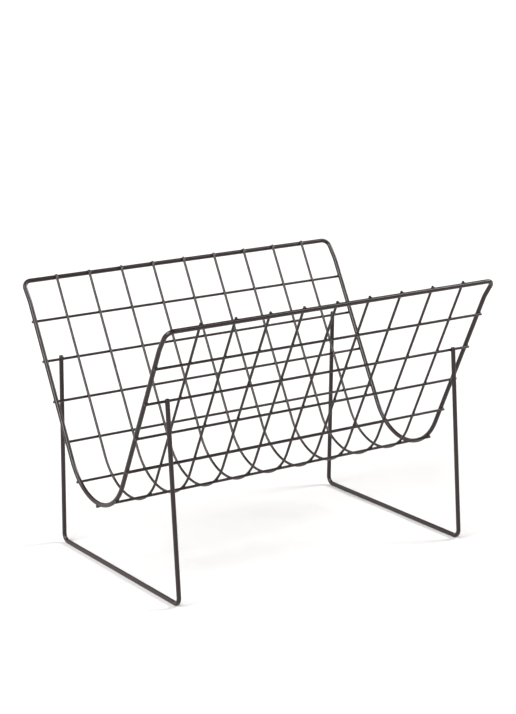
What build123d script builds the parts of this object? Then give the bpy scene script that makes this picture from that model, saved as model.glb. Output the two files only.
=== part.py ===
from build123d import *
from math import atan2, cos, degrees, hypot, radians, sin, tan
import os

os.makedirs("parts", exist_ok=True)

# Welded wire rack, millimetres. +Z is up, +X runs along the trough, -Y is the front.
# The origin is the middle of the footprint, on the floor.

# Wire sizes, over the paint
thin_radius = 1.4
rim_radius = 2.4
leg_radius = 2.4

# How far two wires sink into each other where they are welded
thin_sink = 0.3
rim_sink = 0.6
leg_sink = 0.5

# Trough profile: a round bottom between two flat panels that lean outwards.
# It is drawn for the surface where the cross wires meet the long wires.
panel_lean = 28.0
bend_radius = 63.5
bottom_height = 79.0

# Grid
cross_pitch = 40.0
cross_count = 9
long_pitch = 45.0
long_rows = 5

# Rim, one more step out from the last wires
rim_half_length = 199.0
rim_arc = 271.0
rim_corner_radius = 8.5
rim_lean_start = 247.0
rim_lean_radius = 40.0

# Cut ends: the thin wires end level with the rim's outer side
thin_chamfer = 0.35
leg_chamfer = 0.5

# Leg frames
leg_x = 177.5
foot_half_width = 124.0
leg_bend_radius = 8.0
leg_weld_row = 4
leg_top_stub = 3.0

# Layers, measured inwards from the profile surface
cross_layer = thin_radius - thin_sink / 2
long_layer = -cross_layer
side_layer = long_layer + thin_radius + rim_radius - rim_sink
rail_layer = cross_layer - thin_radius - rim_radius + rim_sink

panel_slope = radians(90.0 - panel_lean)
bend_arc = bend_radius * panel_slope
bend_centre_z = bottom_height + bend_radius
long_half_length = rim_half_length + rim_radius
cross_arc = rim_arc + rim_radius


def profile_point(arc, layer):
    """Y and Z of a layer, at an arc length from the bottom towards the back."""
    radius = bend_radius - layer
    angle = min(arc / bend_radius, panel_slope)
    straight = max(arc - bend_arc, 0.0)
    y = radius * sin(angle) + straight * cos(panel_slope)
    z = bend_centre_z - radius * cos(angle) + straight * sin(panel_slope)
    return y, z


def profile_vertex_z(layer):
    """Height at which the two panels of a layer would meet if the bottom were sharp."""
    return bend_centre_z - (bend_radius - layer) / cos(panel_slope)


def end_plane(path):
    """Plane across the start of a wire's path."""
    return Plane(origin=path @ 0, z_dir=path % 0)


# Rows of long wires: the side of the rack (1 back, -1 front) and the step up from the bottom
long_places = [("long_wire_bottom", 0.0, profile_point(0.0, long_layer)[1])]
for row in range(1, long_rows + 1):
    row_y, row_z = profile_point(row * long_pitch, long_layer)
    long_places.append((f"long_wire_back_{row}", row_y, row_z))
    long_places.append((f"long_wire_front_{row}", -row_y, row_z))

rail_y, rail_z = profile_point(rim_arc, rail_layer)


# Long wires: straight rods on the outside of the grid
for long_name, long_y, long_z in long_places:
    with BuildPart() as long_wire:
        with BuildSketch(Plane(origin=(-long_half_length, long_y, long_z), z_dir=(1, 0, 0))):
            Circle(thin_radius)
        extrude(amount=2 * long_half_length)
        chamfer(long_wire.edges().filter_by(GeomType.CIRCLE), thin_chamfer)
    long_wire.part.label = long_name
    export_step(long_wire.part, f"parts/{long_name}.step")


# Cross wires: bent to the profile, inside the long wires and the top rails
cross_top_y, cross_top_z = profile_point(cross_arc, cross_layer)
cross_vertex_z = profile_vertex_z(cross_layer)

for index in range(cross_count):
    cross_x = (index - (cross_count - 1) / 2) * cross_pitch
    cross_name = f"cross_wire_{index + 1}"
    with BuildPart() as cross_wire:
        with BuildLine() as cross_path:
            FilletPolyline(
                (cross_x, cross_top_y, cross_top_z),
                (cross_x, 0, cross_vertex_z),
                (cross_x, -cross_top_y, cross_top_z),
                radius=bend_radius - cross_layer,
            )
        with BuildSketch(end_plane(cross_path.line)):
            Circle(thin_radius)
        sweep(path=cross_path.line)
        chamfer(cross_wire.edges().sort_by(Axis.Z)[-2:], thin_chamfer)
        # Weld seats
        with Locations([(cross_x, seat_y, seat_z) for _, seat_y, seat_z in long_places]):
            Cylinder(thin_radius, 4 * rim_radius, rotation=(0, 90, 0), mode=Mode.SUBTRACT)
        with Locations((cross_x, rail_y, rail_z), (cross_x, -rail_y, rail_z)):
            Cylinder(rim_radius, 4 * rim_radius, rotation=(0, 90, 0), mode=Mode.SUBTRACT)
    cross_wire.part.label = cross_name
    export_step(cross_wire.part, f"parts/{cross_name}.step")


# Rim: one closed loop, two top rails outside the cross wires and two bent sides
# inside the long wires. Above the last long wire each side leans out to its rail.
lean_y, lean_z = profile_point(rim_lean_start, side_layer)
side_vertex_z = profile_vertex_z(side_layer)

with BuildPart() as rim_frame:
    with BuildLine() as rim_path:
        FilletPolyline(
            (0, rail_y, rail_z),
            (-rim_half_length, rail_y, rail_z),
            (-rim_half_length, lean_y, lean_z),
            (-rim_half_length, 0, side_vertex_z),
            (-rim_half_length, -lean_y, lean_z),
            (-rim_half_length, -rail_y, rail_z),
            (0, -rail_y, rail_z),
            radius=[
                rim_corner_radius,
                rim_lean_radius,
                bend_radius - side_layer,
                rim_lean_radius,
                rim_corner_radius,
            ],
        )
    with BuildSketch(end_plane(rim_path.line)):
        Circle(rim_radius)
    sweep(path=rim_path.line)
    mirror(about=Plane.YZ)
    # Weld seats of the long wires
    for side_x in (-rim_half_length, rim_half_length):
        with Locations([(side_x, seat_y, seat_z) for _, seat_y, seat_z in long_places]):
            Cylinder(thin_radius, 4 * rim_radius, rotation=(0, 90, 0), mode=Mode.SUBTRACT)
rim_frame.part.label = "rim_frame"
export_step(rim_frame.part, "parts/rim_frame.step")


# Leg frames: a floor bar with two uprights that lean in to the weld row
weld_y, weld_z = profile_point(leg_weld_row * long_pitch, long_layer)
weld_reach = thin_radius + leg_radius - leg_sink
leg_rise = weld_z - leg_radius
# The upright's axis passes weld_reach outside the long wire and meets the floor bar
# at foot_half_width.
leg_splay = atan2(foot_half_width - weld_y, leg_rise)
leg_splay -= atan2(weld_reach, hypot(foot_half_width - weld_y, leg_rise))
leg_weld_y = weld_y + weld_reach * cos(leg_splay)
leg_weld_z = weld_z + weld_reach * sin(leg_splay)
leg_top_y = leg_weld_y - leg_top_stub * sin(leg_splay)
leg_top_z = leg_weld_z + leg_top_stub * cos(leg_splay)

for leg_name, leg_place in (("leg_frame_left", -leg_x), ("leg_frame_right", leg_x)):
    with BuildPart() as leg_frame:
        with BuildLine() as leg_path:
            FilletPolyline(
                (leg_place, leg_top_y, leg_top_z),
                (leg_place, foot_half_width, leg_radius),
                (leg_place, -foot_half_width, leg_radius),
                (leg_place, -leg_top_y, leg_top_z),
                radius=leg_bend_radius,
            )
        with BuildSketch(end_plane(leg_path.line)):
            Circle(leg_radius)
        sweep(path=leg_path.line)
        chamfer(leg_frame.edges().sort_by(Axis.Z)[-2:], leg_chamfer)
        # Weld seats
        with Locations((leg_place, weld_y, weld_z), (leg_place, -weld_y, weld_z)):
            Cylinder(thin_radius, 4 * leg_radius, rotation=(0, 90, 0), mode=Mode.SUBTRACT)
    leg_frame.part.label = leg_name
    export_step(leg_frame.part, f"parts/{leg_name}.step")

print("leg splay", round(degrees(leg_splay), 2), "cross top", round(cross_top_z, 2))
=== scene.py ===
import math

import bpy
import numpy as np
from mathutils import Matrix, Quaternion, Vector


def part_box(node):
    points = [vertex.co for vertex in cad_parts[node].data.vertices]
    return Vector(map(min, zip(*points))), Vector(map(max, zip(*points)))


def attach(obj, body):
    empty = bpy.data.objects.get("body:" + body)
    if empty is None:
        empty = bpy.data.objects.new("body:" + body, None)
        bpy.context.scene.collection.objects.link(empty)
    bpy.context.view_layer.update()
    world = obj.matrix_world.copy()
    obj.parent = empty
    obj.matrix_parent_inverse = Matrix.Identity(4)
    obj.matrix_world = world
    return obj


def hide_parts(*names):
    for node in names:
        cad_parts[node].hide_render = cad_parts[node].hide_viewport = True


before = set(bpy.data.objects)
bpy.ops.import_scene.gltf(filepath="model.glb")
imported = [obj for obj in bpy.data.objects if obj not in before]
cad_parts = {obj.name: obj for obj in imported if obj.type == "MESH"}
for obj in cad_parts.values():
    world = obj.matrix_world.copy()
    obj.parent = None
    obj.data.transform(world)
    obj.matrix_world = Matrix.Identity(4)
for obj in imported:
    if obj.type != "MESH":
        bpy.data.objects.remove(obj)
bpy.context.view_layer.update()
scene = bpy.context.scene

MM = 0.001
WELD_SEED = 7

# ---------------------------------------------------------------- the rack's shape
# These repeat the design's sizes. Places come from the CAD boxes.
PANEL_LEAN = math.radians(28.0)      # of each panel from upright
BEND_RADIUS = 63.5 * MM              # of the trough's bottom, where the two layers touch
THIN_LAYER = 1.25 * MM               # from that surface to the axis of a thin wire
THIN_CHAMFER = 0.35 * MM
RIM_CORNER_RADIUS = 8.5 * MM
RIM_LEAN_RADIUS = 40.0 * MM
RIM_LEAN_START = 247.0 * MM          # along the profile, where the rim's sides lean out
RIM_SIDE_LAYER = 1.95 * MM
LEG_BEND_RADIUS = 8.0 * MM
LEG_FOOT_HALF_WIDTH = 124.0 * MM
LEG_CHAMFER = 0.5 * MM
LEG_SINK = 0.5 * MM                  # of an upright into the long wire it is welded to

PANEL_SLOPE = math.pi / 2 - PANEL_LEAN
LONG_NAMES = ["long_wire_bottom"]
LONG_NAMES += [f"long_wire_{side}_{row}" for side in ("back", "front") for row in range(1, 6)]
CROSS_NAMES = [f"cross_wire_{i}" for i in range(1, 10)]

# ---------------------------------------------------------------- how the wires are meshed
RING_SIDES = {"thin": 22, "thick": 32}
WELD_STEP = 0.28 * MM                # between rings beside a weld
BEND_STEP = math.radians(4.0)        # of turn between rings on a bend
LONGEST_STEP = 6.0 * MM
STEP_GROWTH = 0.3                    # how fast rings spread out away from a weld
END_ROUND = {"thin": 0.45 * MM, "thick": 0.9 * MM}
END_RINGS = 6
FILLET = {"thin": 1.5 * MM, "thick": 1.9 * MM}   # how far metal and paint fill a weld's corner
FILLET_LEAST, FILLET_MOST = 0.8, 1.15            # share of that, from weld to weld
FILLET_MARGIN = 0.6 * MM             # looked at beyond a fillet's reach
FILLET_HALVINGS = 14
FINE_MARGIN = 1.2 * MM               # of close rings beyond the other wire's width
FLAT_DEPTH = 0.09 * MM               # the electrode's flat on the far side of a weld
FLAT_HALF_LENGTH = 1.7 * MM
LEAST_OVERLAP = 0.1 * MM             # of two wires that count as welded
SEARCH_STEP = 0.5 * MM               # along a wire, when looking for its welds
SEARCH_FINE_STEPS = 40
NEAREST_STEP = 0.1 * MM
NEAREST_COARSE = 20                  # fine steps in each coarse one
NEAREST_REACH = 2.2 * MM


def unit(vector):
    return vector / np.linalg.norm(vector)


class Wire:
    """A round wire along straight runs joined by tangent arcs."""

    def __init__(self, name, points, radii, radius, kind, closed=False):
        self.name = name
        self.radius = radius
        self.kind = kind
        self.closed = closed
        self.welds = []              # (place along this wire, the other wire)
        self.parts = []              # straight runs and arcs, in order
        points = [np.array(p, float) for p in points]
        start = points[0]
        for before, corner, after, bend in zip(points, points[1:], points[2:], radii):
            way_in = unit(corner - before)
            way_out = unit(after - corner)
            turn = math.acos(float(np.clip(way_in @ way_out, -1, 1)))
            reach = bend * math.tan(turn / 2)
            bend_start = corner - way_in * reach
            centre = corner + unit(way_out - way_in) * bend / math.cos(turn / 2)
            self.add_run(start, bend_start)
            self.parts.append(("arc", centre, unit(bend_start - centre), way_in, bend, turn))
            start = corner + way_out * reach
        self.add_run(start, points[-1])
        self.lengths = [self.part_length(part) for part in self.parts]
        self.starts = np.concatenate([[0], np.cumsum(self.lengths)])
        self.length = self.starts[-1]

    def add_run(self, start, end):
        self.parts.append(("run", start, unit(end - start), np.linalg.norm(end - start)))

    def part_length(self, part):
        return part[3] if part[0] == "run" else part[4] * part[5]

    def part_index(self, s):
        """Which part a distance along the wire falls in."""
        return int(np.clip(np.searchsorted(self.starts, s, "right") - 1, 0, len(self.parts) - 1))

    def at(self, s):
        """Axis point and direction at a distance along the wire."""
        i = self.part_index(s)
        part = self.parts[i]
        along = s - self.starts[i]
        if part[0] == "run":
            return part[1] + part[2] * along, part[2]
        _, centre, out, way_in, bend, _ = part
        angle = along / bend
        point = centre + bend * (out * math.cos(angle) + way_in * math.sin(angle))
        return point, way_in * math.cos(angle) - out * math.sin(angle)

    def distance(self, points):
        """Distance from each point to the wire's axis."""
        best = np.full(len(points), np.inf)
        for part in self.parts:
            if part[0] == "run":
                _, start, way, length = part
                along = np.clip((points - start) @ way, 0, length)
                gap = np.linalg.norm(points - start - along[:, None] * way, axis=1)
            else:
                _, centre, out, way_in, bend, turn = part
                offset = points - centre
                x = offset @ out
                y = offset @ way_in
                angle = np.clip(np.arctan2(y, x), 0, turn)
                ring = bend * (np.cos(angle)[:, None] * out + np.sin(angle)[:, None] * way_in)
                gap = np.linalg.norm(offset - ring, axis=1)
            best = np.minimum(best, gap)
        return best

    def find_welds(self, other):
        """Notes each place where another wire lies on this one."""
        stations = np.linspace(0, self.length, int(self.length / SEARCH_STEP) + 2)
        points = np.array([self.at(s)[0] for s in stations])
        gap = other.distance(points)
        near = gap < self.radius + other.radius - LEAST_OVERLAP
        edges = np.flatnonzero(np.diff(np.concatenate([[0], near.astype(int), [0]])))
        for first, last in edges.reshape(-1, 2):
            best = stations[first + int(np.argmin(gap[first:last]))]
            fine = np.linspace(best - SEARCH_STEP, best + SEARCH_STEP, SEARCH_FINE_STEPS + 1)
            fine = fine[(fine >= 0) & (fine <= self.length)]
            fine_gap = other.distance(np.array([self.at(s)[0] for s in fine]))
            self.welds.append((float(fine[np.argmin(fine_gap)]), other))

    def stations(self):
        """Places of the rings: close together at welds and on bends."""
        places = [0.0]
        weld_places = np.array([s for s, _ in self.welds])
        reaches = np.array([other.radius + FINE_MARGIN for _, other in self.welds])
        while places[-1] < self.length:
            s = places[-1]
            i = self.part_index(s)
            part = self.parts[i]
            step = LONGEST_STEP if part[0] == "run" else part[4] * BEND_STEP
            if len(weld_places):
                clear = np.maximum(np.abs(weld_places - s) - reaches, 0).min()
                step = min(step, WELD_STEP + STEP_GROWTH * clear)
            # A run has a ring where its bend starts.
            run_left = self.starts[i + 1] - s
            if part[0] == "run" and run_left > 1e-7:
                step = min(step, run_left)
            places.append(s + step)
        places[-1] = self.length
        return np.array(places)

    def rings(self):
        """Rings of points round the axis: their places, axis points, and outward directions."""
        places = self.stations()
        if self.closed:
            places = places[:-1]
        else:
            inset = END_ROUND[self.kind]
            inner = places[(places > inset) & (places < self.length - inset)]
            places = np.concatenate([[inset], inner, [self.length - inset]])
        axis_points, directions = (np.array(column) for column in zip(*map(self.at, places)))
        side = unit(np.cross(directions[0], (0.0, 0.0, 1.0)))
        frames = []
        for direction in directions:
            side = unit(side - direction * (side @ direction))
            frames.append((side, np.cross(direction, side)))
        sides = RING_SIDES[self.kind]
        angles = np.arange(sides) * 2 * math.pi / sides
        out = np.array([
            np.cos(angles)[:, None] * a + np.sin(angles)[:, None] * b for a, b in frames
        ])
        return places, axis_points, directions, out

    def build(self, rng):
        """The wire's mesh, with its welds filled and its cut ends rounded."""
        places, axis_points, directions, out = self.rings()
        height = np.full(out.shape[:2], self.radius)
        for s_weld, other in self.welds:
            amount = FILLET[self.kind] * rng.uniform(FILLET_LEAST, FILLET_MOST)
            away = np.abs(places - s_weld)
            if self.closed:
                away = np.minimum(away, self.length - away)
            rows = np.flatnonzero(away < other.radius + amount + FILLET_MARGIN)
            base = (axis_points[rows, None] + out[rows] * self.radius).reshape(-1, 3)
            normal = out[rows].reshape(-1, 3)
            rise = fillet_rise(base, normal, other, amount).reshape(len(rows), -1)
            height[rows] = np.maximum(height[rows], self.radius + rise)
            if self.kind == "thin":
                self.press_flat(height, rows, away[rows], s_weld, other, out)
        points = axis_points[:, None] + out * height[..., None]
        return self.mesh(points, axis_points, directions, out)

    def press_flat(self, height, rows, away, s_weld, other, out):
        """The small flat that a welding electrode leaves opposite the other wire."""
        middle, _ = self.at(s_weld)
        other_middle = other.nearest(middle)
        outward = unit(middle - other_middle)
        fade = np.clip(1 - away / FLAT_HALF_LENGTH, 0, 1)
        depth = FLAT_DEPTH * fade * fade * (3 - 2 * fade)
        facing = out[rows] @ outward
        limit = (self.radius - depth[:, None]) / np.maximum(facing, 0.5)
        pressed = np.minimum(height[rows], limit)
        height[rows] = np.where(facing > 0.5, pressed, height[rows])

    def nearest(self, point):
        """The axis point of this wire nearest to a point, to a tenth of a millimetre."""
        def closest(places):
            gaps = [np.linalg.norm(self.at(s)[0] - point) for s in places]
            return places[int(np.argmin(gaps))]

        stations = np.linspace(0, self.length, int(self.length / NEAREST_STEP) + 2)
        best = closest(stations[::NEAREST_COARSE])
        return self.at(closest(stations[np.abs(stations - best) < NEAREST_REACH]))[0]

    def mesh(self, points, axis_points, directions, out):
        """Joins the rings with faces and closes the ends."""
        count, sides = points.shape[:2]
        vertices = [points.reshape(-1, 3)]
        faces = []
        for i in range(count if self.closed else count - 1):
            a = i * sides
            b = ((i + 1) % count) * sides
            for j in range(sides):
                k = (j + 1) % sides
                faces.append((a + j, a + k, b + k, b + j))
        total = count * sides
        if not self.closed:
            inset = END_ROUND[self.kind]
            for end, sign in ((0, -1), (count - 1, 1)):
                ring = end * sides
                for step in range(1, END_RINGS + 2):
                    angle = min(step / END_RINGS, 1) * math.pi / 2
                    forward = inset * math.sin(angle)
                    size = self.radius - inset * (1 - math.cos(angle))
                    if step > END_RINGS:
                        size = size / 2
                    centre = axis_points[end] + directions[end] * sign * forward
                    vertices.append(centre + out[end] * size)
                    for j in range(sides):
                        k = (j + 1) % sides
                        quad = (ring + j, ring + k, total + k, total + j)
                        faces.append(quad if sign > 0 else quad[::-1])
                    ring = total
                    total += sides
                vertices.append((axis_points[end] + directions[end] * sign * inset)[None])
                for j in range(sides):
                    k = (j + 1) % sides
                    fan = (ring + j, ring + k, total)
                    faces.append(fan if sign > 0 else fan[::-1])
                total += 1
        mesh = bpy.data.meshes.new(self.name)
        mesh.from_pydata(np.concatenate(vertices).tolist(), [], faces)
        mesh.polygons.foreach_set("use_smooth", [True] * len(mesh.polygons))
        mesh.update()
        return mesh


def fillet_rise(base, normal, other, amount):
    """How far each point moves out so that two wires blend into one smooth skin."""
    gap = other.distance(base) - other.radius
    low = np.zeros(len(base))
    high = np.full(len(base), amount)
    for _ in range(FILLET_HALVINGS):
        middle = (low + high) / 2
        far = other.distance(base + normal * middle[:, None]) - other.radius
        overlap = np.maximum(amount - np.abs(middle - far), 0) / amount
        skin = np.minimum(middle, far) - overlap * overlap * amount / 4
        passed = (skin >= 0) | (middle >= far)
        high = np.where(passed, middle, high)
        low = np.where(passed, low, middle)
    return np.where((gap > 0) & (gap < amount), (low + high) / 2, 0)


# ---------------------------------------------------------------- the wires' routes
def box_middle(node):
    low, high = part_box(node)
    return (np.array(low) + np.array(high)) / 2


def box_size(node):
    low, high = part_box(node)
    return np.array(high) - np.array(low)


thin_radius = box_size("long_wire_bottom")[2] / 2
thick_radius = box_size("leg_frame_left")[0] / 2
cross_low, cross_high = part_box("cross_wire_1")
bend_centre_z = cross_low.z + thin_radius - THIN_LAYER + BEND_RADIUS


def profile_point(arc, layer):
    """Y and Z of a layer of the trough, at a distance from the bottom towards the back."""
    radius = BEND_RADIUS - layer
    angle = min(arc / BEND_RADIUS, PANEL_SLOPE)
    straight = max(arc - BEND_RADIUS * PANEL_SLOPE, 0)
    y = radius * math.sin(angle) + straight * math.cos(PANEL_SLOPE)
    z = bend_centre_z - radius * math.cos(angle) + straight * math.sin(PANEL_SLOPE)
    return y, z


def profile_vertex_z(layer):
    return bend_centre_z - (BEND_RADIUS - layer) / math.cos(PANEL_SLOPE)


wires = {}

for name in LONG_NAMES:
    x, y, z = box_middle(name)
    half = box_size(name)[0] / 2
    wires[name] = Wire(name, [(-half, y, z), (half, y, z)], [], thin_radius, "thin")

tangent_y, tangent_z = profile_point(BEND_RADIUS * PANEL_SLOPE, THIN_LAYER)
cross_end_z = cross_high.z - (thin_radius - THIN_CHAMFER) * math.cos(PANEL_SLOPE)
cross_end_y = tangent_y + (cross_end_z - tangent_z) / math.tan(PANEL_SLOPE)
for name in CROSS_NAMES:
    x = box_middle(name)[0]
    route = [
        (x, cross_end_y, cross_end_z),
        (x, 0, profile_vertex_z(THIN_LAYER)),
        (x, -cross_end_y, cross_end_z),
    ]
    wires[name] = Wire(name, route, [BEND_RADIUS - THIN_LAYER], thin_radius, "thin")

rim_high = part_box("rim_frame")[1]
rim_x = rim_high.x - thick_radius
rail_y = rim_high.y - thick_radius
rail_z = rim_high.z - thick_radius
lean_y, lean_z = profile_point(RIM_LEAN_START, RIM_SIDE_LAYER)
side_z = profile_vertex_z(RIM_SIDE_LAYER)
rim_route = [(0, rail_y, rail_z)]
for x, way in ((-rim_x, 1), (rim_x, -1)):
    rim_route += [
        (x, way * rail_y, rail_z),
        (x, way * lean_y, lean_z),
        (x, 0, side_z),
        (x, -way * lean_y, lean_z),
        (x, -way * rail_y, rail_z),
    ]
rim_route.append((0, rail_y, rail_z))
side_radii = [RIM_CORNER_RADIUS, RIM_LEAN_RADIUS, BEND_RADIUS - RIM_SIDE_LAYER]
side_radii += [RIM_LEAN_RADIUS, RIM_CORNER_RADIUS]
wires["rim_frame"] = Wire(
    "rim_frame", rim_route, side_radii + side_radii, thick_radius, "thick", closed=True
)

_, weld_y, weld_z = box_middle("long_wire_back_4")
leg_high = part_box("leg_frame_left")[1]
leg_reach = thin_radius + thick_radius - LEG_SINK
leg_out = LEG_FOOT_HALF_WIDTH - weld_y
leg_rise = weld_z - thick_radius
leg_splay = math.atan2(leg_out, leg_rise) - math.asin(leg_reach / math.hypot(leg_out, leg_rise))
leg_top_z = leg_high.z - (thick_radius - LEG_CHAMFER) * math.sin(leg_splay)
leg_top_y = LEG_FOOT_HALF_WIDTH - (leg_top_z - thick_radius) * math.tan(leg_splay)
for name in ("leg_frame_left", "leg_frame_right"):
    x = box_middle(name)[0]
    route = [
        (x, leg_top_y, leg_top_z),
        (x, LEG_FOOT_HALF_WIDTH, thick_radius),
        (x, -LEG_FOOT_HALF_WIDTH, thick_radius),
        (x, -leg_top_y, leg_top_z),
    ]
    wires[name] = Wire(name, route, [LEG_BEND_RADIUS] * 2, thick_radius, "thick")


# ---------------------------------------------------------------- powder coat
COAT_DARK = (0.0095, 0.0034, 0.0040, 1)
COAT_LIGHT = (0.0140, 0.0060, 0.0068, 1)
COAT_SHINE = 0.45
COAT_ROUGHNESS = (0.28, 0.38)        # least and most
CLOUD_SCALE, GRAIN_SCALE, PEEL_SCALE = 45.0, 1400.0, 700.0
NOISE_LOW, NOISE_HIGH = 0.3, 0.7     # where the noises' useful range lies
PEEL_DEPTH = 0.06 * MM
PEEL_STRENGTH = 0.25


def powder_coat(name):
    """Nearly black brown satin powder coat: fine orange peel, uneven gloss, soft clouding."""
    material = bpy.data.materials.new(name)
    material.use_nodes = True
    nodes = material.node_tree.nodes
    links = material.node_tree.links
    shader = nodes["Principled BSDF"]
    shader.inputs["Metallic"].default_value = 0.0
    shader.inputs["IOR"].default_value = 1.5
    shader.inputs["Specular IOR Level"].default_value = COAT_SHINE

    place = nodes.new("ShaderNodeTexCoord").outputs["Object"]

    def noise(scale, detail, roughness):
        node = nodes.new("ShaderNodeTexNoise")
        node.inputs["Scale"].default_value = scale
        node.inputs["Detail"].default_value = detail
        node.inputs["Roughness"].default_value = roughness
        links.new(place, node.inputs["Vector"])
        return node.outputs["Fac"]

    clouds = noise(CLOUD_SCALE, 3.0, 0.55)
    grain = noise(GRAIN_SCALE, 2.0, 0.5)
    peel = noise(PEEL_SCALE, 2.0, 0.5)

    tone = nodes.new("ShaderNodeValToRGB")
    tone.color_ramp.elements[0].position = NOISE_LOW
    tone.color_ramp.elements[0].color = COAT_DARK
    tone.color_ramp.elements[1].position = NOISE_HIGH
    tone.color_ramp.elements[1].color = COAT_LIGHT
    links.new(clouds, tone.inputs["Fac"])
    links.new(tone.outputs["Color"], shader.inputs["Base Color"])

    gloss = nodes.new("ShaderNodeMapRange")
    gloss.inputs["From Min"].default_value = NOISE_LOW
    gloss.inputs["From Max"].default_value = NOISE_HIGH
    gloss.inputs["To Min"].default_value = COAT_ROUGHNESS[0]
    gloss.inputs["To Max"].default_value = COAT_ROUGHNESS[1]
    links.new(grain, gloss.inputs["Value"])
    links.new(gloss.outputs["Result"], shader.inputs["Roughness"])

    bump = nodes.new("ShaderNodeBump")
    bump.inputs["Strength"].default_value = PEEL_STRENGTH
    bump.inputs["Distance"].default_value = PEEL_DEPTH
    links.new(peel, bump.inputs["Height"])
    links.new(bump.outputs["Normal"], shader.inputs["Normal"])
    return material


coat = powder_coat("powder_coat")

# ---------------------------------------------------------------- the pieces
for wire in wires.values():
    for other in wires.values():
        if other is not wire:
            wire.find_welds(other)

rng = np.random.default_rng(WELD_SEED)
for name, wire in wires.items():
    piece = bpy.data.objects.new("coated_" + name, wire.build(rng))
    scene.collection.objects.link(piece)
    piece.data.materials.append(coat)
    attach(piece, "root")
    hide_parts(name)


# ---------------------------------------------------------------- floor
FLOOR_HALF = 30.0
FLOOR_COLOUR = (0.614, 0.612, 0.610, 1)


def floor_material():
    material = bpy.data.materials.new("studio_floor")
    material.use_nodes = True
    shader = material.node_tree.nodes["Principled BSDF"]
    shader.inputs["Base Color"].default_value = FLOOR_COLOUR
    shader.inputs["Roughness"].default_value = 0.9
    shader.inputs["Specular IOR Level"].default_value = 0.0
    return material


floor_mesh = bpy.data.meshes.new("floor")
floor_mesh.from_pydata(
    [(x, y, 0) for x, y in ((-1, -1), (1, -1), (1, 1), (-1, 1))], [], [(0, 1, 2, 3)]
)
floor = bpy.data.objects.new("floor", floor_mesh)
floor.scale = (FLOOR_HALF, FLOOR_HALF, 1)
scene.collection.objects.link(floor)
floor_mesh.materials.append(floor_material())


# ---------------------------------------------------------------- light
def sun(name, azimuth, elevation, strength, angle, colour):
    """A far soft light. Azimuth 0 stands on -Y and 90 on +X."""
    lamp = bpy.data.lights.new(name, "SUN")
    lamp.energy = strength
    lamp.angle = math.radians(angle)
    lamp.color = colour
    holder = bpy.data.objects.new(name, lamp)
    turn = math.radians(azimuth)
    tilt = math.radians(elevation)
    towards = Vector((
        math.sin(turn) * math.cos(tilt), -math.cos(turn) * math.cos(tilt), math.sin(tilt)
    ))
    holder.rotation_euler = towards.to_track_quat("Z", "Y").to_euler()
    scene.collection.objects.link(holder)


WARM = (1.0, 0.99, 0.98)
WARMER = (1.0, 0.96, 0.94)
WHITE = (1.0, 1.0, 1.0)
WORLD_STRENGTH = 0.1

SUNS = (
    # name, azimuth, elevation, strength, angle, colour
    ("side_left", -86, 46, 2.4, 24, WARM),
    ("side_right", 71, 37, 3.3, 20, WARM),
    ("front_left", -54, 28, 3.0, 27, WHITE),
    ("back", -155, 28, 1.3, 70, WARMER),
)
for values in SUNS:
    sun(*values)

world = bpy.data.worlds.new("studio")
scene.world = world
world.use_nodes = True
background = world.node_tree.nodes["Background"]
background.inputs["Color"].default_value = (*WHITE, 1)
background.inputs["Strength"].default_value = WORLD_STRENGTH

scene.view_settings.view_transform = "Standard"
scene.view_settings.look = "None"
scene.view_settings.exposure = 0.0

# ---------------------------------------------------------------- camera
CAMERA_AZIMUTH = math.radians(-32.640)
CAMERA_ELEVATION = math.radians(13.750)
CAMERA_ROLL = math.radians(-1.121)
CAMERA_PLACE = (-1.08885, -1.70135, 0.70156)
CAMERA_LENS = 97.69
SENSOR_WIDTH = 36.0

camera_data = bpy.data.cameras.new("camera")
camera_data.sensor_width = SENSOR_WIDTH
camera_data.lens = CAMERA_LENS
camera_data.clip_end = 100.0
camera = bpy.data.objects.new("camera", camera_data)
camera.location = CAMERA_PLACE
back = Vector((
    math.sin(CAMERA_AZIMUTH) * math.cos(CAMERA_ELEVATION),
    -math.cos(CAMERA_AZIMUTH) * math.cos(CAMERA_ELEVATION),
    math.sin(CAMERA_ELEVATION),
))
camera.rotation_mode = "QUATERNION"
camera.rotation_quaternion = back.to_track_quat("Z", "Y") @ Quaternion((0, 0, 1), CAMERA_ROLL)
scene.collection.objects.link(camera)
scene.camera = camera
